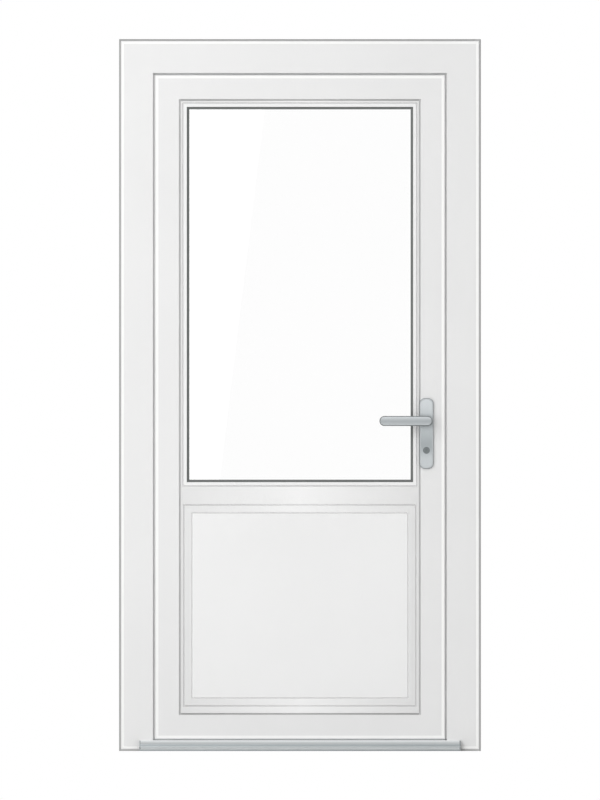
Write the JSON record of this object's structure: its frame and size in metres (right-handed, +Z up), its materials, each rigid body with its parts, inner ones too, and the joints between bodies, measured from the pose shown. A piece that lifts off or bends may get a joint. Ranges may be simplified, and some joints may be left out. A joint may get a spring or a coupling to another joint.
{
  "type": "pvc door",
  "caption": "White PVC entrance door in its frame, clear double glazing above a raised lower panel, lever handle on a long plate, aluminium threshold.",
  "frame": {"origin": "underside of the threshold, at mid width, in the plane of the frame's outer face", "axes": "+X to the lock side as seen from outside, +Y from outside to inside, +Z up"},
  "size_m": [1.094, 0.183, 2.1527],
  "materials": {
    "white_pvc": "white, satin gloss",
    "panel_pvc": "white, satin gloss",
    "clear_glass": "clear float glass",
    "grey_seal": "dark grey, matt",
    "spacer_aluminium": "mill finish",
    "anodised_aluminium": "silver anodised",
    "satin_aluminium": "satin silver",
    "zinc_steel": "zinc plated",
    "cylinder_metal": "dark satin",
    "hinge_enamel": "white powder coat"
  },
  "bodies": {
    "frame": {"frame_jamb_hinge_side": "white_pvc", "frame_jamb_lock_side": "white_pvc", "frame_head": "white_pvc", "threshold": "anodised_aluminium", "frame_seal_hinge_side": "grey_seal", "frame_seal_lock_side": "grey_seal", "frame_seal_head": "grey_seal", "strike_plate": "zinc_steel", "hinge_bottom_frame_half": "hinge_enamel", "hinge_middle_frame_half": "hinge_enamel", "hinge_top_frame_half": "hinge_enamel"},
    "leaf": {"leaf_stile_hinge_side": "white_pvc", "leaf_stile_lock_side": "white_pvc", "leaf_top_rail": "white_pvc", "leaf_mid_rail": "white_pvc", "leaf_bottom_rail": "white_pvc", "leaf_bottom_seal": "grey_seal", "glazing_bead_left": "white_pvc", "glazing_bead_right": "white_pvc", "glazing_bead_top": "white_pvc", "glazing_bead_bottom": "white_pvc", "glazing_gasket_outside": "grey_seal", "glazing_gasket_inside": "grey_seal", "glazing_spacer": "spacer_aluminium", "glass_pane_outside": "clear_glass", "glass_pane_inside": "clear_glass", "lower_panel": "panel_pvc", "lock_faceplate": "zinc_steel", "latch_bolt": "zinc_steel", "dead_bolt": "zinc_steel", "lock_cylinder": "cylinder_metal", "handle_plate_outside": "satin_aluminium", "handle_plate_inside": "satin_aluminium", "hinge_bottom_leaf_half": "hinge_enamel", "hinge_middle_leaf_half": "hinge_enamel", "hinge_top_leaf_half": "hinge_enamel"},
    "handle": {"lever_outside": "satin_aluminium", "lever_inside": "satin_aluminium", "handle_spindle": "zinc_steel"}
  },
  "joints": [
    {"name": "leaf_hinge", "type": "hinge", "parent": "frame", "child": "leaf", "pos_m": [-0.498, 0.084, 1.07635], "axis": [0, 0, 1], "range_deg": [0, 105]},
    {"name": "lever_turn", "type": "hinge", "parent": "leaf", "child": "handle", "pos_m": [0.3823, 0.0405, 0.9979], "axis": [0, -1, 0], "range_deg": [0, 40], "stiffness_Nm_per_rad": 1.2, "springref_deg": -45.84}
  ]
}
